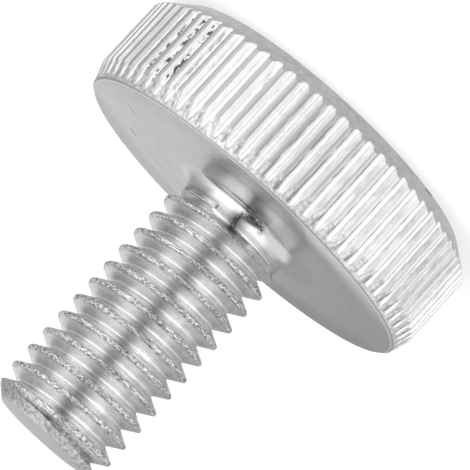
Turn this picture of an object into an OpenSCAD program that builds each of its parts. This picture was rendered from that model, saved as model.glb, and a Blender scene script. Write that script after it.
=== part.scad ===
// Knurled thumb screw: a round head with a straight knurl, a plain neck and a
// rolled metric thread, all in one piece of steel. It stands on the top face of
// its head, with the thread pointing up, and the origin is the middle of that face.

/* [Head] */
// Diameter over the ridges of the knurl
head_d = 14.8; // [10:0.1:20]
// Height of the head, from its top face to its underside
head_h = 4.25; // [3:0.05:8]
// Width of the chamfer round the top face, across the radius
top_chamfer_w = 0.9; // [0.3:0.05:1.2]
// Height of the chamfer round the top face
top_chamfer_h = 0.75; // [0.2:0.05:1]
// Width of the long chamfer that thins the ridges towards the underside
under_chamfer_w = 0.26; // [0.2:0.02:0.8]
// Height of the long chamfer
under_chamfer_h = 0.75; // [0.2:0.05:1]
// Width of the small edge break round the underside, across the radius
edge_break_w = 0.14; // [0.06:0.02:0.3]
// Height of the small edge break
edge_break_h = 0.1; // [0.04:0.02:0.2]

/* [Knurl] */
// Number of straight ridges round the head
knurl_count = 76; // [48:1:90]
// Depth of the grooves between the ridges
knurl_depth = 0.18; // [0.06:0.01:0.24]
// Width of the worn land on top of each ridge
knurl_land = 0.14; // [0.06:0.01:0.18]
// Width of the floor of each groove
knurl_floor = 0.08; // [0.04:0.01:0.12]

/* [Neck] */
// Length of the plain neck, from the underside of the head to the run-out
neck_len = 0.75; // [0.7:0.05:3]
// Radius of the fillet between the neck and the underside of the head
fillet_r = 0.57; // [0.3:0.01:0.65]
// Depth that the fillet sinks into the underside, which leaves a fine edge round it
fillet_sink = 0.02; // [0.01:0.01:0.05]

/* [Thread] */
// Diameter over the crests of the thread, a little under its nominal 5 mm
thread_d = 4.96; // [4:0.02:7]
// Pitch of the right-hand thread
thread_pitch = 0.8; // [0.5:0.05:1]
// Width of the flat on the crest
crest_flat = 0.1; // [0.04:0.01:0.14]
// Width of the flat at the root
root_flat = 0.04; // [0.02:0.01:0.1]
// Length of the shank, from the underside of the head to the tip
shank_len = 10.5; // [6:0.5:30]
// Length over which the thread fades into the neck
runout_len = 0.45; // [0.3:0.05:1.2]
// Width of the chamfer round the tip, across the radius
tip_chamfer_w = 0.6; // [0.2:0.02:0.8]
// Height of the chamfer round the tip
tip_chamfer_h = 0.55; // [0.3:0.05:1.2]
// Length over which the last groove gets shallow towards the tip
groove_fade_len = 0.95; // [0.6:0.05:1.5]
// Depth of that groove where it runs out on the chamfer
groove_end_depth = 0.05; // [0.02:0.01:0.15]

/* [Hidden] */

head_r = head_d / 2;
under_z = head_h;
tip_z = under_z + shank_len;
flank_angle = 30;

// The thread's 60-degree profile. The neck keeps the rolled blank's diameter,
// which is where ridge and groove are equally wide.
thread_r = thread_d / 2;
flank_w = (thread_pitch - crest_flat - root_flat) / 2;
thread_depth = flank_w / tan(flank_angle);
neck_r = thread_r - (thread_pitch / 2 - crest_flat) / 2 / tan(flank_angle);
tip_r = thread_r - tip_chamfer_w;

// The threaded core is a hair thinner than the neck that it grows out of.
seam = 0.015;
core_r = neck_r - seam;
core_z = under_z / 2;
rise_z = under_z + neck_len;
neck_top_z = rise_z - seam;
arc_steps = 64;

// Corners of the thread's profile over one pitch, along the axis from a crest's middle.
CORNERS = [
    -crest_flat / 2,
    crest_flat / 2,
    crest_flat / 2 + flank_w,
    thread_pitch - crest_flat / 2 - flank_w
];
corners = len(CORNERS);
turn_steps = 40;
helix_z = rise_z - 2 * thread_pitch;
stations = corners * (ceil((tip_z - helix_z) / thread_pitch) + 2);
// A corner nearer than this to an end of the thread counts as being on it.
snap = 0.01;

// Radius of the endless thread at a distance from the middle of a crest.
function profile_r(offset) =
    let (along = abs(offset - thread_pitch * round(offset / thread_pitch)))
    thread_r - min(max(along - crest_flat / 2, 0) / tan(flank_angle), thread_depth);

// Share of the thread's full form that stands at a height: none on the neck.
function formed(z) = min(max((z - rise_z) / runout_len, 0), 1);

// Radius that the chamfered tip allows at a height.
function tip_limit_r(z) = tip_r + tip_chamfer_w * (tip_z - z) / tip_chamfer_h;

// Radius that the last groove has left at a height. It rises from the root, at half
// as steep as the flank, and stays a little under the chamfer.
function groove_floor_r(z) =
    min(
        thread_r - thread_depth + (z - tip_z + groove_fade_len) / tan(flank_angle) / 2,
        tip_limit_r(z) - groove_end_depth
    );

function thread_surface_r(step, z) =
    let (
        crest_z = helix_z + thread_pitch * step / turn_steps,
        rolled_r = max(profile_r(z - crest_z), groove_floor_r(z))
    )
    min(core_r + formed(z) * (rolled_r - core_r), tip_limit_r(z));

// Height of a profile corner on one of the lines that run along the thread.
function station_z(step, station) =
    helix_z + thread_pitch * (step / turn_steps + floor(station / corners))
    + CORNERS[station % corners];

// Each line starts at the last corner below the run-out and ends at the first past the tip.
function first_station(step) =
    max([for (s = [0:stations - 1]) if (station_z(step, s) <= rise_z + snap) s]);
function last_station(step) =
    min([for (s = [0:stations - 1]) if (station_z(step, s) >= tip_z - snap) s]);

function held_z(step, station) =
    station <= first_station(step) ? rise_z
    : station >= last_station(step) ? tip_z
    : station_z(step, station);

function on_circle(r, step, z) =
    [r * cos(360 * step / turn_steps), r * sin(360 * step / turn_steps), z];

// Outline of the knurled head: a land, a flank, a floor and a flank for each ridge.
module knurl_outline() {
    pitch_angle = 360 / knurl_count;
    groove_r = head_r - knurl_depth;
    land_angle = knurl_land / head_r * 180 / PI / 2;
    floor_angle = knurl_floor / groove_r * 180 / PI / 2;
    polygon([
        for (i = [0:knurl_count - 1], corner = [
            [head_r, -land_angle],
            [head_r, land_angle],
            [groove_r, pitch_angle / 2 - floor_angle],
            [groove_r, pitch_angle / 2 + floor_angle]
        ])
        let (a = i * pitch_angle + corner[1])
        corner[0] * [cos(a), sin(a)]
    ]);
}

// Half section of the turned blank. Both long chamfers run on past the ridges, so
// that they alone cut the knurl.
module blank_section() {
    spare = 0.2;
    top_run = top_chamfer_h / top_chamfer_w * spare;
    under_run = under_chamfer_h / under_chamfer_w * spare;
    edge_z = under_z - edge_break_h;
    polygon([
        [0, 0],
        [head_r - top_chamfer_w, 0],
        [head_r + spare, top_chamfer_h + top_run],
        [head_r + spare, edge_z - under_chamfer_h - under_run],
        [head_r - under_chamfer_w, edge_z],
        [head_r - under_chamfer_w - edge_break_w, under_z],
        [0, under_z]
    ]);
}

module head() {
    intersection() {
        linear_extrude(head_h) knurl_outline();
        rotate_extrude($fn = arc_steps) blank_section();
    }
}

// Neck with its fillet, sunk in the head.
module neck() {
    fillet_z = under_z + fillet_r - fillet_sink;
    rotate_extrude($fn = arc_steps) difference() {
        translate([0, core_z]) square([neck_r + fillet_r, neck_top_z - core_z]);
        translate([neck_r + fillet_r, fillet_z]) circle(fillet_r, $fn = arc_steps);
        translate([neck_r, fillet_z]) square([2 * fillet_r, neck_top_z]);
    }
}

// Threaded shank: a skin of lines along the axis, whose corners follow the helix,
// closed by a flat tip and by a plain core that is sunk in the neck.
module shank() {
    firsts = [for (step = [0:turn_steps - 1]) first_station(step)];
    lasts = [for (step = [0:turn_steps - 1]) last_station(step)];
    core_ring = [for (step = [0:turn_steps - 1]) on_circle(core_r, step, core_z)];
    skin = [
        for (step = [0:turn_steps - 1], station = [0:stations - 1])
        let (z = held_z(step, station))
        on_circle(thread_surface_r(step, z), step, z)
    ];
    // A full turn comes back to the first line, one pitch further on.
    function skin_point(step, station) =
        let (
            line = step % turn_steps,
            s = station + (step == turn_steps ? corners : 0)
        )
        turn_steps + line * stations + min(max(s, firsts[line]), lasts[line]);
    skin_faces = [
        for (step = [0:turn_steps - 1], station = [0:stations - 2])
        let (
            a = skin_point(step, station),
            b = skin_point(step, station + 1),
            c = skin_point(step + 1, station + 1),
            d = skin_point(step + 1, station)
        )
        each [if (a != b) [a, b, c], if (c != d) [a, c, d]]
    ];
    wall = [
        for (step = [0:turn_steps - 1])
        let (next = (step + 1) % turn_steps)
        [step, skin_point(step, 0), skin_point(next, 0), next]
    ];
    core_end = [[for (step = [0:turn_steps - 1]) step]];
    tip = [[for (step = [turn_steps - 1:-1:0]) skin_point(step, stations - 1)]];
    polyhedron(concat(core_ring, skin), concat(core_end, wall, skin_faces, tip));
}

module thumb_screw() {
    color("silver") {
        head();
        neck();
        shank();
    }
}

thumb_screw();
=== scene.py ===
import math

import bpy
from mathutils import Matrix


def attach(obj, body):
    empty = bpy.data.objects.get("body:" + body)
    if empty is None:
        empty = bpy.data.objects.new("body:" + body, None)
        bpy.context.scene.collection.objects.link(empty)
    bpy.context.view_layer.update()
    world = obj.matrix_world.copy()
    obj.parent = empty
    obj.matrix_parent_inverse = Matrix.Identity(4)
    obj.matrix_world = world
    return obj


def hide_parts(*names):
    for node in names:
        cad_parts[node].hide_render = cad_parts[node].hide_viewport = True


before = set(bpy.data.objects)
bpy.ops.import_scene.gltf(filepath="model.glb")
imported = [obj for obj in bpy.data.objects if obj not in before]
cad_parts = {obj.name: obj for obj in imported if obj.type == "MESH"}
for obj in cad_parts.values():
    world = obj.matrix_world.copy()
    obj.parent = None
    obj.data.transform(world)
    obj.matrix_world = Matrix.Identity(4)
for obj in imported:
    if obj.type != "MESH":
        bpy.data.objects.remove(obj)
bpy.ops.object.select_all(action="DESELECT")
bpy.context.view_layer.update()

# ---- The stand, the light and the camera
# The screw stands on its head on a pale floor, inside a round tent of white cloth. The
# cloth is lit in patches: two bright ones beside the camera with a narrow dark gap
# between them, and others at the sides and behind. The metal mirrors these as bands.

# Sizes and places here are in metres.
FLOOR_SPREAD = 6.0
FLOOR_GREY = 0.42
FLOOR_GLOW = 0.62
BACKDROP_WHITE = 1.0
ROOM_LIGHT = 0.75
TENT_R = 1.5
TENT_Z = 0.007
TENT_POWER = 1.25
# A patch of cloth: from and to in bearing, softness, from and to in lift, softness, all in
# degrees. Each of the outer ones ends with its brightness.
OUTER_PATCHES = [
    (-200, -158, 12, -90, 60, 15, 0.64),
    (145, 200, 12, -8, 28, 8, 0.33),
    (60, 110, 20, -60, 60, 15, 0.76),
    (52, 148, 15, 12, 75, 8, 0.86),
    (-112, -60, 12, 42, 120, 10, 1.3),
]
LEFT_PATCH = (-76, -20, 13, -65, 120, 10)
RIGHT_PATCH = (16, 68, 13, -65, 48, 12)
# The edges of the dark gap in bearing, how soft they are, and the lift where each leans.
GAP_LEFT = -13
GAP_RIGHT = 5
GAP_SOFT = 6
LEFT_LEANS_AT = 18
RIGHT_LEANS_AT = 20
CAMERA_PLACE = (-0.091469, 0.082267, 0.026714)
CAMERA_TURN = (-76.442, 41.6304, 57.2516)
CAMERA_AZIMUTH = 138.15
LENS = 269.112


class Wire:
    """A value inside a material. Arithmetic on it is written as in plain Python."""

    def __init__(self, tree, socket=None):
        self.tree = tree
        self.socket = socket

    def node(self, kind, settings=(), sockets=(), out=0):
        made = self.tree.nodes.new("ShaderNode" + kind)
        for name, value in dict(settings).items():
            setattr(made, name, value)
        for key, value in dict(sockets).items():
            if isinstance(value, Wire):
                self.tree.links.new(value.socket, made.inputs[key])
            else:
                made.inputs[key].default_value = value
        return Wire(self.tree, made.outputs[out] if made.outputs else None)

    def sum_of(self, operation, *values):
        """The result of one operation on numbers or on vectors."""
        wired = [v for v in values if isinstance(v, Wire)]
        vector = any(v.socket.type == "VECTOR" for v in wired)
        kind = "VectorMath" if vector else "Math"
        if vector:
            values = [
                v if isinstance(v, (Wire, tuple)) else (v, v, v) for v in values
            ]
        return self.node(kind, {"operation": operation}, dict(enumerate(values)))

    def __add__(self, other):
        return self.sum_of("ADD", self, other)

    def __sub__(self, other):
        return self.sum_of("SUBTRACT", self, other)

    def __mul__(self, other):
        return self.sum_of("MULTIPLY", self, other)

    def __truediv__(self, other):
        return self.sum_of("DIVIDE", self, other)

    def __pow__(self, other):
        return self.sum_of("POWER", self, other)

    def __radd__(self, other):
        return self.sum_of("ADD", other, self)

    def __rsub__(self, other):
        return self.sum_of("SUBTRACT", other, self)

    def __rmul__(self, other):
        return self.sum_of("MULTIPLY", other, self)

    def __rtruediv__(self, other):
        return self.sum_of("DIVIDE", other, self)

    def __neg__(self):
        return self.sum_of("MULTIPLY", self, -1.0)

    def below(self, other):
        return self.sum_of("MINIMUM", self, other)

    def above(self, other):
        return self.sum_of("MAXIMUM", self, other)

    def rise(self, low, high):
        """0 below low, 1 above high, and smooth between them."""
        return self.node(
            "MapRange",
            {"interpolation_type": "SMOOTHSTEP"},
            {0: self, 1: low, 2: high, 3: 0.0, 4: 1.0},
        )

    def mix(self, first, second):
        """first where this is 0, and second where it is 1."""
        return self.node("Mix", {"data_type": "FLOAT"}, {0: self, 2: first, 3: second})

    def noise(self, scale, detail, roughness):
        return self.node("TexNoise", (), {0: self, 2: scale, 3: detail, 4: roughness})


def new_material(name):
    material = bpy.data.materials.new(name)
    material.use_nodes = True
    material.node_tree.nodes.clear()
    return material, Wire(material.node_tree)


def surface(start, shader):
    """Gives a material its shader."""
    start.node("OutputMaterial", (), {"Surface": shader})


def seen_directly(start):
    """1 where the camera, or a mirror image, looks straight at this."""
    camera = start.node("LightPath", out="Is Camera Ray")
    glossy = start.node("LightPath", out="Is Glossy Ray")
    clear = start.node("LightPath", out="Is Transmission Ray")
    return camera.above(glossy).above(clear)


world = bpy.data.worlds.new("white_tent")
world.use_nodes = True
world.node_tree.nodes.clear()
start = Wire(world.node_tree)
white_share = seen_directly(start)
start.node(
    "OutputWorld",
    (),
    {
        "Surface": start.node(
            "Background",
            (),
            {
                "Color": (1, 1, 1, 1),
                "Strength": white_share.mix(ROOM_LIGHT, BACKDROP_WHITE),
            },
        )
    },
)
bpy.context.scene.world = world

bpy.ops.mesh.primitive_plane_add(size=FLOOR_SPREAD, location=(0, 0, 0))
floor = bpy.context.object
floor.name = "floor"
floor.visible_glossy = False
pale, start = new_material("pale_floor")
seen = start.node("LightPath", out="Is Camera Ray")
glow = start.node("Emission", (), {"Color": (1, 1, 1, 1), "Strength": seen * FLOOR_GLOW})
matt = start.node("BsdfDiffuse", (), {"Color": (FLOOR_GREY, FLOOR_GREY, FLOOR_GREY, 1)})
surface(start, start.node("AddShader", (), {0: glow, 1: matt}))
floor.data.materials.append(pale)

bpy.ops.mesh.primitive_uv_sphere_add(
    segments=48, ring_count=24, radius=TENT_R, location=(0, 0, TENT_Z)
)
tent = bpy.context.object
tent.name = "light_tent"
tent.rotation_euler.z = math.radians(CAMERA_AZIMUTH)
tent.visible_camera = False
cloth, start = new_material("light_tent")
# Bearing runs to the right from the camera and lift runs up from level, in degrees.
spot = start.sum_of("NORMALIZE", start.node("TexCoord", out="Object"))
away = start.node("SeparateXYZ", (), {0: spot}, out="X")
left = start.node("SeparateXYZ", (), {0: spot}, out="Y")
up = start.node("SeparateXYZ", (), {0: spot}, out="Z")
bearing = start.sum_of("ARCTAN2", -left, away) * (180 / math.pi)
lift = start.sum_of("ARCSINE", up) * (180 / math.pi)


def panel(side_low, side_high, side_soft, low, high, soft):
    """1 on a stretch of the tent and 0 round it, with soft edges."""
    return (
        bearing.rise(side_low - side_soft, side_low + side_soft)
        * (1 - bearing.rise(side_high - side_soft, side_high + side_soft))
        * lift.rise(low - soft, low + soft)
        * (1 - lift.rise(high - soft, high + soft))
    )


# The plain cloth between the patches, at its foot, its middle and its top.
light = lift.rise(-30, -8).mix(0.58, lift.rise(5, 60).mix(0.40, 0.9))
for *where, brightness in OUTER_PATCHES:
    light = panel(*where).mix(light, brightness)
light = panel(*LEFT_PATCH).mix(light, lift.rise(0, 50).mix(1.02, 1.7))
light = panel(*RIGHT_PATCH).mix(light, lift.rise(-20, 10).mix(1.12, 1.35))
# The gap between the two bright patches leans over to the right above the screw.
gap_left = (lift - LEFT_LEANS_AT).above(0) * 0.55 + GAP_LEFT
gap_right = (lift - RIGHT_LEANS_AT).above(0) * 1.45 + GAP_RIGHT
gap_blur = (lift - RIGHT_LEANS_AT).above(0) * 0.25 + GAP_SOFT
gap = bearing.rise(gap_left - GAP_SOFT, gap_left + GAP_SOFT) * (
    1 - bearing.rise(gap_right - gap_blur, gap_right + gap_blur)
)
light = gap.mix(light, lift.rise(18, 48).mix(0.27, 0.08)) * TENT_POWER
surface(start, start.node("Emission", (), {"Color": (1, 1, 1, 1), "Strength": light}))
cloth.cycles.emission_sampling = "NONE"
tent.data.materials.append(cloth)

bpy.ops.object.camera_add(
    location=CAMERA_PLACE, rotation=tuple(math.radians(a) for a in CAMERA_TURN)
)
camera = bpy.context.object
camera.data.lens = LENS
camera.data.sensor_width = 36
camera.data.clip_start = 0.005
bpy.context.scene.camera = camera
bpy.context.scene.view_settings.view_transform = "Standard"

# ---- The head
# A round steel head, turned to shape with a wide chamfer at its top rim and a steep one
# below, then rolled between knurling wheels that press straight grooves into its side.
# From here on sizes are in millimetres, and the whole screw is scaled to metres at the end.
HEAD_R = 7.4
UNDER_Z = 4.25
TOP_CHAMFER_W = 0.9
CHAMFER_H = 0.75
UNDER_CHAMFER_W = 0.26
EDGE_BREAK_W = 0.14
EDGE_BREAK_H = 0.1
# How far the turned outline goes past the ridges, and how far each chamfer climbs there.
SPARE = 0.2
TOP_SPARE = 0.1667
UNDER_SPARE = 0.577
# How fast the under chamfer narrows the head, in mm for each mm of height.
UNDER_SLOPE = 0.3467
RIDGES = 76
GROOVE_DEPTH = 0.25
# Half of one ridge: the way round the head from its middle, and height over the groove.
RIDGE_HALF = [
    (0.0, 0.25),
    (0.05, 0.249),
    (0.085, 0.238),
    (0.112, 0.195),
    (0.14, 0.125),
    (0.175, 0.055),
    (0.215, 0.018),
    (0.26, 0.003),
]
ROW_STEP = 0.12
BELOW_TOP = 0.3
KNURL_LEN = UNDER_Z + 0.6
HEAD_STEPS = 304
# Points closer than these are welded: on a turned solid, and where repeats meet.
TURNED_GAP = 0.001
REPEAT_GAP = 0.002


def clear_selection():
    if bpy.context.object and bpy.context.object.mode == "EDIT":
        bpy.ops.object.mode_set(mode="OBJECT")
    bpy.ops.object.select_all(action="DESELECT")


def pick(piece):
    """Selects one piece and makes it the active one."""
    clear_selection()
    bpy.context.view_layer.objects.active = piece
    piece.select_set(True)


def draw_line(name, points):
    """A line of edges through points, drawn by extruding one vertex."""
    clear_selection()
    bpy.ops.mesh.primitive_plane_add(size=1, location=(0, 0, 0))
    piece = bpy.context.object
    piece.name = name
    bpy.ops.object.mode_set(mode="EDIT")
    bpy.ops.mesh.select_mode(type="VERT")
    bpy.ops.mesh.select_all(action="SELECT")
    bpy.ops.mesh.merge(type="CENTER")
    bpy.ops.transform.translate(value=points[0])
    for a, b in zip(points, points[1:]):
        step = tuple(q - p for p, q in zip(a, b))
        bpy.ops.mesh.extrude_region_move(TRANSFORM_OT_translate={"value": step})
    return piece


def merge_all(gap):
    bpy.ops.mesh.select_all(action="SELECT")
    bpy.ops.mesh.remove_doubles(threshold=gap)


def turn_solid(name, outline, steps):
    """A closed solid turned from (radius, height) points that start and end on the axis."""
    piece = draw_line(name, [(r, 0, z) for r, z in outline])
    bpy.ops.mesh.select_all(action="SELECT")
    bpy.ops.mesh.spin(steps=steps, angle=2 * math.pi, center=(0, 0, 0), axis=(0, 0, 1))
    merge_all(TURNED_GAP)
    bpy.ops.mesh.normals_make_consistent(inside=False)
    bpy.ops.object.mode_set(mode="OBJECT")
    return piece


def combine(piece, other, operation):
    """Applies a boolean with another piece, and removes that piece."""
    pick(piece)
    cut = piece.modifiers.new("cut", "BOOLEAN")
    cut.operation = operation
    cut.object = other
    cut.solver = "EXACT"
    bpy.ops.object.modifier_apply(modifier=cut.name)
    bpy.data.objects.remove(other)


def roughen(piece, grain_size, swing, chosen):
    """Pushes the chosen part of a piece's surface in and out, in a cloudy pattern."""
    pick(piece)
    group = piece.vertex_groups.new(name="worn")
    group.add([v.index for v in piece.data.vertices if chosen(v.co)], 1.0, "REPLACE")
    clouds = bpy.data.textures.new("clouds", "CLOUDS")
    clouds.noise_scale = grain_size
    clouds.noise_depth = 2
    wear = piece.modifiers.new("wear", "DISPLACE")
    wear.texture = clouds
    wear.texture_coords = "LOCAL"
    wear.vertex_group = "worn"
    wear.strength = swing
    bpy.ops.object.modifier_apply(modifier=wear.name)
    piece.vertex_groups.clear()


def reach(co):
    """Distance of a point from the screw's axis."""
    return math.hypot(co.x, co.y)


sector = 2 * math.pi / RIDGES
half = [(s / HEAD_R, HEAD_R - GROOVE_DEPTH + h) for s, h in RIDGE_HALF]
across = (
    [(-sector / 2, HEAD_R - GROOVE_DEPTH)]
    + [(-a, r) for a, r in reversed(half[1:])]
    + half
    + [(sector / 2, HEAD_R - GROOVE_DEPTH)]
)
knurl = draw_line(
    "knurled_head", [(r * math.cos(a), r * math.sin(a), -BELOW_TOP) for a, r in across]
)
bpy.ops.mesh.select_all(action="SELECT")
rows = round(KNURL_LEN / ROW_STEP)
for _ in range(rows):
    bpy.ops.mesh.extrude_region_move(
        TRANSFORM_OT_translate={"value": (0, 0, KNURL_LEN / rows)}
    )
bpy.ops.mesh.select_all(action="SELECT")
bpy.ops.mesh.spin(
    steps=RIDGES, angle=2 * math.pi, center=(0, 0, 0), axis=(0, 0, 1), dupli=True
)
merge_all(REPEAT_GAP)
bpy.ops.mesh.select_all(action="DESELECT")
bpy.ops.mesh.select_mode(type="EDGE")
bpy.ops.mesh.select_non_manifold()
bpy.ops.mesh.edge_face_add()
bpy.ops.mesh.select_all(action="SELECT")
bpy.ops.mesh.normals_make_consistent(inside=False)
bpy.ops.object.mode_set(mode="OBJECT")

# The grooves waver a little, the ridges are uneven and the floors are rough.
roughen(knurl, 0.9, 0.03, lambda co: reach(co) < 7.26)
roughen(knurl, 0.30, 0.016, lambda co: reach(co) > 7.2)
roughen(knurl, 0.12, 0.035, lambda co: reach(co) < 7.22)
under_chamfer_z = UNDER_Z - EDGE_BREAK_H - CHAMFER_H
head_blank = turn_solid(
    "head_blank",
    [
        (0, 0),
        (3.2, 0),
        (HEAD_R - TOP_CHAMFER_W, 0),
        (HEAD_R - TOP_CHAMFER_W / 2, CHAMFER_H / 2),
        (HEAD_R + SPARE, CHAMFER_H + TOP_SPARE),
        (HEAD_R + SPARE, under_chamfer_z - UNDER_SPARE),
        (HEAD_R - UNDER_CHAMFER_W / 2, under_chamfer_z + CHAMFER_H / 2),
        (HEAD_R - UNDER_CHAMFER_W, UNDER_Z - EDGE_BREAK_H),
        (HEAD_R - UNDER_CHAMFER_W - EDGE_BREAK_W, UNDER_Z),
        (5.0, UNDER_Z),
        (3.6, UNDER_Z),
        (0, UNDER_Z),
    ],
    HEAD_STEPS,
)
combine(knurl, head_blank, "INTERSECT")

# ---- The neck
# A short plain stretch of the shank, as thick as the blank that the thread is rolled
# from. A fillet leads into it from the underside of the head, and a low seam of
# pushed-up steel lies on it, along part of the way round.
NECK_R = 2.2202
FILLET_R = 0.57
FILLET_SINK = 0.02
NECK_LEN = 0.75
ROOT_R = 1.9084
RUNOUT = 0.45
RISE_Z = UNDER_Z + NECK_LEN
SEAM_Z = 4.88
SEAM_HALF_W = 0.12
SEAM_RING_STEP = 0.02
SEAM_PROUD = 0.045
# The azimuths where the seam starts and ends, and how far it takes to fade, in degrees.
SEAM_FROM = 161
SEAM_TO = 217
SEAM_FADE = 5
NECK_STEPS = 288

fillet = [
    (
        NECK_R + FILLET_R - FILLET_R * math.cos(math.radians(t)),
        UNDER_Z - FILLET_SINK + FILLET_R - FILLET_R * math.sin(math.radians(t)),
    )
    for t in range(90, -1, -10)
]
neck = turn_solid(
    "neck",
    [(0, UNDER_Z - 1.0), (NECK_R + FILLET_R, UNDER_Z - 1.0)]
    + fillet
    + [(NECK_R, SEAM_Z + SEAM_RING_STEP * i) for i in range(-3, 6)]
    + [
        (NECK_R, RISE_Z),
        (NECK_R - 0.06, RISE_Z + 0.12),
        (ROOT_R - 0.03, RISE_Z + RUNOUT),
        (ROOT_R - 0.2, RISE_Z + RUNOUT + 0.2),
        (0, RISE_Z + RUNOUT + 0.2),
    ],
    NECK_STEPS,
)
seam = neck.vertex_groups.new(name="seam")
for point in neck.data.vertices:
    turn = math.degrees(math.atan2(point.co.y, point.co.x)) % 360
    ends = min((turn - SEAM_FROM) / SEAM_FADE, (SEAM_TO - turn) / SEAM_FADE, 1)
    crown = 1 - ((point.co.z - SEAM_Z) / SEAM_HALF_W) ** 2
    if ends > 0 and crown > 0 and abs(reach(point.co) - NECK_R) < 0.01:
        seam.add([point.index], (ends * crown) ** 0.5, "REPLACE")
pick(neck)
swell = neck.modifiers.new("swell", "DISPLACE")
swell.vertex_group = "seam"
swell.mid_level = 0
swell.strength = SEAM_PROUD
bpy.ops.object.modifier_apply(modifier=swell.name)
neck.vertex_groups.clear()

# ---- The thread
# A right-hand M5 thread with a 0.8 mm pitch, rolled into the shank. Its roots are
# smooth, and its crests are where the steel flowed together, so they are rough.
PITCH = 0.8
CREST_R = 2.48
TIP_Z = 14.75
TURN_STEPS = 144
BLANK_STEPS = 192
CLOSE_GAP = 0.0005
GROOVE_END_PLACE = (-0.25, -0.02, 0)
MM = 0.001
SMOOTH_BELOW = 36
# Half of the profile from the middle of a root: height along the axis and radius.
THREAD_HALF = [
    (0.0, 1.914),
    (0.022, 1.921),
    (0.042, 1.943),
    (0.062, 1.981),
    (0.12, 2.0816),
    (0.18, 2.1855),
    (0.24, 2.2894),
    (0.29, 2.376),
    (0.322, 2.4314),
    (0.339, 2.457),
    (0.355, 2.474),
    (0.374, 2.480),
    (0.4, 2.466),
]
one_pitch = THREAD_HALF + [(PITCH - z, r) for z, r in reversed(THREAD_HALF[:-1])]

turns = math.ceil((TIP_Z - RISE_Z) / PITCH) + 3
# The crest stands at azimuth 0 at the height helix_z, and the root half a pitch below it.
helix_z = RISE_Z - 2 * PITCH
shank = draw_line("thread", [(r, 0, helix_z - PITCH / 2 + z) for z, r in one_pitch])
bpy.ops.object.mode_set(mode="OBJECT")
winding = shank.modifiers.new("winding", "SCREW")
winding.angle = 2 * math.pi
winding.screw_offset = PITCH
winding.iterations = turns
winding.steps = TURN_STEPS
winding.render_steps = TURN_STEPS
winding.use_merge_vertices = True
winding.merge_threshold = REPEAT_GAP
winding.use_smooth_shade = True
bpy.ops.object.modifier_apply(modifier=winding.name)
bpy.ops.object.mode_set(mode="EDIT")
merge_all(REPEAT_GAP)
for height, outer in ((RISE_Z - 0.3, False), (TIP_Z + 0.3, True)):
    bpy.ops.mesh.select_all(action="SELECT")
    bpy.ops.mesh.bisect(
        plane_co=(0, 0, height),
        plane_no=(0, 0, 1),
        use_fill=True,
        clear_inner=not outer,
        clear_outer=outer,
    )
merge_all(CLOSE_GAP)
bpy.ops.mesh.normals_make_consistent(inside=False)
bpy.ops.object.mode_set(mode="OBJECT")

roughen(shank, 0.09, 0.035, lambda co: reach(co) > 2.42)
groove_end = turn_solid(
    "groove_end",
    [
        (0, TIP_Z - 0.9),
        (ROOT_R - 0.08, TIP_Z - 0.7),
        (ROOT_R + 0.01, TIP_Z - 0.52),
        (ROOT_R + 0.10, TIP_Z - 0.38),
        (ROOT_R + 0.22, TIP_Z - 0.25),
        (ROOT_R + 0.24, TIP_Z + 0.06),
        (0, TIP_Z + 0.06),
    ],
    BLANK_STEPS,
)
# It stands off to one side, so the last groove runs out there and stays open on the other.
groove_end.location = GROOVE_END_PLACE
combine(shank, groove_end, "UNION")
shank_blank = turn_solid(
    "shank_blank",
    [
        (0, RISE_Z - 0.1),
        (ROOT_R - 0.1, RISE_Z - 0.1),
        (NECK_R - 0.02, RISE_Z),
        (NECK_R + 0.03, RISE_Z + 0.08),
        (CREST_R + 0.06, RISE_Z + RUNOUT + 0.05),
        (CREST_R + 0.06, TIP_Z - 0.75),
        (CREST_R - 0.01, TIP_Z - 0.68),
        (CREST_R - 0.07, TIP_Z - 0.55),
        (CREST_R - 0.15, TIP_Z - 0.42),
        (CREST_R - 0.52, TIP_Z - 0.06),
        (CREST_R - 0.60, TIP_Z - 0.012),
        (CREST_R - 0.72, TIP_Z),
        (0, TIP_Z),
    ],
    BLANK_STEPS,
)
combine(shank, shank_blank, "INTERSECT")
combine(neck, shank, "UNION")
combine(knurl, neck, "UNION")
screw = knurl
screw.name = "zinc_thumb_screw"
pick(screw)
bpy.ops.object.mode_set(mode="EDIT")
merge_all(CLOSE_GAP)
bpy.ops.mesh.select_all(action="SELECT")
bpy.ops.transform.resize(value=(MM, MM, MM), center_override=(0, 0, 0))
bpy.ops.object.mode_set(mode="OBJECT")
bpy.ops.object.shade_smooth_by_angle(angle=math.radians(SMOOTH_BELOW))

# Bright zinc plating covers the whole screw. Azimuths are in degrees round its axis.
DARK_SIDE_AZIMUTH = 188
SEAM_AZIMUTH = 189
OPEN_AZIMUTH = 75
ARCH_MIDDLE = (-1.33, 1.78, 4.8)
# Scratches on the underside and on the top face: from, to and half width.
UNDER_SCRATCHES = [
    ((-5.00, -3.03), (-4.31, -3.05), 0.03),
    ((-2.23, -4.80), (-1.76, -4.83), 0.045),
    ((3.14, 3.15), (3.31, 3.44), 0.035),
]
TOP_SCRATCH = ((-1.20, 6.50), (-0.80, 6.50), 0.06)

zinc, start = new_material("zinc_plated_steel")
place = start.node("TexCoord", out="Object") * 1000.0
x = start.node("SeparateXYZ", (), {0: place}, out="X")
y = start.node("SeparateXYZ", (), {0: place}, out="Y")
z = start.node("SeparateXYZ", (), {0: place}, out="Z")
r = (x * x + y * y) ** 0.5
azimuth = start.sum_of("ARCTAN2", y, x)


def facing_way(degrees):
    """1 on the side that faces this azimuth, and -1 on the opposite side."""
    way = math.radians(degrees)
    return (x * math.cos(way) + y * math.sin(way)) / r


def stretched(across_scale, height_scale):
    """The place, scaled by different shares across the axis and along it."""
    parts = {0: x * across_scale, 1: y * across_scale, 2: z * height_scale}
    return start.node("CombineXYZ", (), parts)


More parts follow.
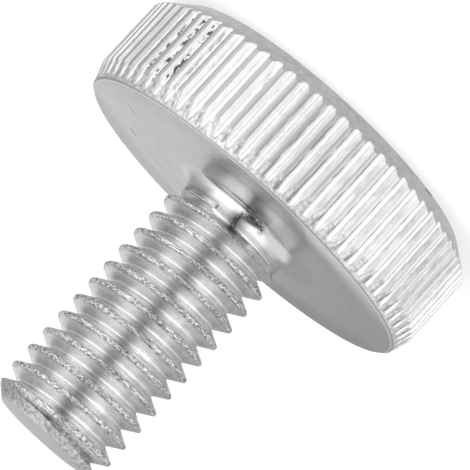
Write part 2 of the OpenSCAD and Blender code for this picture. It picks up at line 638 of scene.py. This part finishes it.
def along_thread(length_scale, cross_scale):
    """Streaks that run along the thread."""
    parts = {0: x * length_scale, 1: y * length_scale, 2: wave_a * cross_scale + z * 3.0}
    return start.node(
        "TexNoise",
        {"noise_dimensions": "4D"},
        {
            0: start.node("CombineXYZ", (), parts),
            1: wave_b * cross_scale,
            2: 1.0,
            3: 3.0,
            4: 0.6,
        },
    )


def scratch(tail, tip, width):
    """A straight mark from tail to tip."""
    run = [b - a for a, b in zip(tail, tip)]
    length_squared = run[0] ** 2 + run[1] ** 2
    share = ((x - tail[0]) * run[0] + (y - tail[1]) * run[1]) * (1 / length_squared)
    share = share.above(0).below(1)
    off_x = x - tail[0] - share * run[0]
    off_y = y - tail[1] - share * run[1]
    away = (off_x ** 2 + off_y ** 2) ** 0.5
    return 1 - (away + (grain - 0.5) * width * 2).rise(width * 0.5, width * 1.5)


coarse = place.noise(1.6, 3.0, 0.5)
grain = place.noise(8.0, 3.0, 0.6)
pebble = place.noise(7.5, 3.0, 0.65)
mottle = place.noise(3.0, 6.0, 0.75)
lengthways = stretched(7.0, 1.6).noise(1.0, 3.0, 0.65)
drawn = stretched(1.5, 24.0).noise(1.0, 3.0, 0.6)
dents = stretched(1.0, 0.55).noise(7.0, 2.0, 0.6)
rings = start.node("CombineXYZ", (), {0: x / r * 3.0, 1: y / r * 3.0, 2: r * 10.0})
turned = rings.noise(1.0, 3.0, 0.6)
# Along the axis the thread's crest is at 0 of this angle, and its root at half a turn.
climb = (z - helix_z) * (2 * math.pi / PITCH) - azimuth
wave_a = start.sum_of("COSINE", climb)
wave_b = start.sum_of("SINE", climb)
streak = along_thread(1.3, 4.5)
flow = along_thread(8.0, 4.5)
fine = along_thread(4.0, 13.0)

# Where the point lies: each of these is 1 on the part that it names, and 0 elsewhere.
# On the head: the knurled side, its grooves and their floors, the plain rim, the tops of
# the ridges and their ends, and the top chamfer.
blank_r = (
    HEAD_R
    - (z - under_chamfer_z).above(0) * UNDER_SLOPE
    - (CHAMFER_H - z).above(0) * (TOP_CHAMFER_W / CHAMFER_H)
)
side = r.rise(7.02, 7.08)
depth = blank_r - r
groove = side * depth.rise(0.01, 0.07)
floor_part = side * depth.rise(0.13, 0.20)
near_rim = z.rise(3.42, 3.55)
past_top_chamfer = z.rise(0.7, 0.78)
rim = side * near_rim * (1 - groove)
land = side * past_top_chamfer * (1 - near_rim) * (1 - groove)
rim_edge = r.rise(7.05, 7.08) * z.rise(4.13, 4.15)
top_chamfer = r.rise(6.45, 6.5) * (1 - past_top_chamfer) * (1 - groove)
ridge_turn = azimuth * RIDGES + (place.noise(1.5, 2.0, 0.5) - 0.5) * 0.8
ridge_middle = start.sum_of("COSINE", ridge_turn)
ridge_side = start.sum_of("SINE", ridge_turn)
# Painted shade: dark spots on one side of each ridge, where it ends near the rim.
ridge_end = side * z.rise(3.55, 3.75) * (1 - z.rise(3.98, 4.12))
ridge_end = ridge_end * (-ridge_side).rise(-0.3, 0.4) * ridge_middle.rise(0.3, 0.7)
# On the shank: the thread, its crests, roots and head-facing flanks, the rough chamfer at
# the tip and the smooth end face.
shank_part = (1 - r.rise(2.78, 2.80)) * z.rise(4.22, 4.24)
threaded = (1 - r.rise(2.55, 2.6)) * z.rise(5.1, 5.5)
at_tip = z.rise(14.1, 14.3)
crest = threaded * r.rise(2.31, 2.42)
back_flank = threaded * (-wave_b).rise(0.05, 0.35)
root = threaded * (-wave_a).rise(0.86, 0.96) * (wave_b + 0.15).rise(0.0, 0.1) * (1 - at_tip)
face_wobble = (place.noise(3.0, 4.0, 0.7) - 0.5) * 0.7
face_r = r + face_wobble + facing_way(OPEN_AZIMUTH).rise(0.3, 1.0) * 0.3
tip_face = z.rise(14.35, 14.4) * (1 - face_r.rise(1.85, 2.05))
tip_band = threaded * at_tip * (1 - tip_face)

# One side of the knurl is darker, partly dull wear and partly painted shade, with pits on
# the floors of its grooves. The rest is brighter, with dark lines along one wall of each
# ridge, partly burrs and partly painted shade, and a few fainter pits.
toward = facing_way(DARK_SIDE_AZIMUTH)
dull_and_shaded_side = toward.rise(-0.6, 0.9)
# Painted shade, with some burrs: a dark line along one wall of each ridge, away from the
# dark side.
burr_and_edge_shade = side * (1 - toward.rise(0.62, 0.86)) * z.rise(0.65, 0.8) * (1 - z.rise(4.0, 4.1))
burr_and_edge_shade = burr_and_edge_shade * (-ridge_side).rise(0.35, 0.65) * ridge_middle.rise(-0.05, 0.3)
burr_and_edge_shade = burr_and_edge_shade * lengthways.rise(0.36, 0.56)
# Painted shade: one wall of each groove is painted a little darker, in streaks.
shade = groove * ridge_side.rise(0.5, 0.95) * lengthways.rise(0.42, 0.62)
patches = place.noise(0.55, 1.0, 0.5).rise(0.58, 0.68)
pitted = floor_part * toward.rise(0.98, 0.995).above(patches * 0.25)
# The seam on the neck, and a dark arch-shaped painted reflection beside it.
seam_part = shank_part * facing_way(SEAM_AZIMUTH).rise(0.875, 0.90)
seam_part = seam_part * z.rise(4.75, 4.79) * (1 - z.rise(4.97, 5.01))
arch_x, arch_y, arch_z = (v - m for v, m in zip((x, y, z), ARCH_MIDDLE))
from_arch = (arch_x ** 2 + arch_y ** 2 + arch_z ** 2) ** 0.5
from_arch = from_arch + (place.noise(8.0, 3.0, 0.7) - 0.5) * 0.3
past_arch = arch_x * 0.8 + arch_y * 0.6 + arch_z
painted_reflection_arch = shank_part * from_arch.rise(0.36, 0.48) * (1 - from_arch.rise(0.54, 0.70))
painted_reflection_arch = painted_reflection_arch * (1 - past_arch.rise(0.05, 0.4))
painted_reflection_arch = painted_reflection_arch * place.noise(14.0, 2.0, 0.6).rise(0.34, 0.54)
marks = scratch(*UNDER_SCRATCHES[0])
for line in UNDER_SCRATCHES[1:]:
    marks = marks.above(scratch(*line))
marks = marks * z.rise(4.2, 4.24) * (1 - shank_part)
marks = marks.above(scratch(*TOP_SCRATCH) * (1 - z.rise(0.3, 0.4)))

# How light the metal is on each part. A later row covers an earlier one.
tone = 0.57 + (coarse - 0.5) * 0.1 + (grain - 0.5) * 0.05
# On the tip the side facing DARK_SIDE_AZIMUTH is darker, partly dull wear and partly
# painted shade.
tip_tone = pebble.rise(0.34, 0.62).mix(0.30, 0.68) * (1 - toward.rise(0.4, 0.9) * 0.25)
for part, part_tone in (
    (top_chamfer, 0.56 + (mottle - 0.5) * 0.5),
    (shank_part, 0.61 + (grain - 0.5) * 0.12),
    (seam_part, drawn.rise(0.40, 0.60).mix(0.42, 0.80)),
    # Painted reflection: the dark arch on the neck.
    (painted_reflection_arch, 0.12),
    (threaded, 0.77 + (streak - 0.5) * 0.3 + (fine - 0.5) * 0.5),
    (back_flank, streak.rise(0.40, 0.60).mix(0.52, 0.92)),
    # Painted highlight: the smooth roots are painted lighter, for a bright line along each
    # root.
    (root, 0.90),
    (crest, flow.rise(0.42, 0.58).mix(0.22, 0.95)),
    (tip_band, tip_tone),
    (tip_face, 0.56 + (grain - 0.5) * 0.12),
    # The lands are near white away from the dark side, a painted highlight, and darker on
    # it, partly dull wear and partly painted shade.
    (land, dull_and_shaded_side.mix(0.92, 0.54)),
    (rim, grain.rise(0.34, 0.66).mix(0.50, 0.80)),
    # Painted shade at the ends of the ridges, in patches.
    (ridge_end * coarse.rise(0.44, 0.56), 0.34),
    # Painted highlight: the grooves are painted near white, lighter than the rest of the
    # zinc.
    (groove, 0.98 + (grain - 0.5) * 0.2),
    # Painted shade on one wall of each groove.
    (shade, 0.80),
    # Burrs and painted shade along one wall of each ridge.
    (burr_and_edge_shade, 0.30),
    (rim_edge, 0.40),
    (marks, 0.30),
    (pitted * dents.rise(0.50, 0.56), 0.14),
):
    tone = part.mix(tone, part_tone)

rough = 0.25 + (turned - 0.5) * 0.12
for part, part_rough in (
    (shank_part, 0.18),
    (threaded, 0.17 + (streak - 0.5) * 0.12),
    (crest.above(tip_band), 0.36),
    (root, 0.12),
    (tip_face, 0.42),
    (side, 0.45),
    (rim, 0.55),
):
    rough = part.mix(rough, part_rough)

# Fine relief in mm, over the shapes of the mesh.
height = turned * 0.0012 + coarse * 0.01
height = shank_part.mix(height, coarse * 0.008)
height = threaded.mix(height, streak * 0.005 + grain * 0.002)
for part, relief, swing in (
    (threaded, fine, 0.012),
    (back_flank, streak, 0.006),
    (crest, flow, 0.030),
    (tip_band, pebble, 0.020),
    (rim, grain, 0.020),
    (groove, grain, 0.016),
    (pitted, dents, 0.080),
    (land, grain, 0.005),
    (seam_part, drawn, 0.020),
    (top_chamfer, mottle, 0.012),
):
    height = height + part * relief * swing
height = height - marks * 0.01
bump = start.node("Bump", (), {"Strength": 1.0, "Distance": MM, "Height": height})
silver = start.node("CombineColor", (), {0: tone, 1: tone, 2: tone * 1.004})
surface(
    start,
    start.node(
        "BsdfPrincipled",
        (),
        {
            "Base Color": silver,
            "Metallic": 1.0,
            "Roughness": rough,
            "Normal": bump,
        },
    ),
)
screw.data.materials.clear()
screw.data.materials.append(zinc)
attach(screw, "root")
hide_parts("thumb_screw")
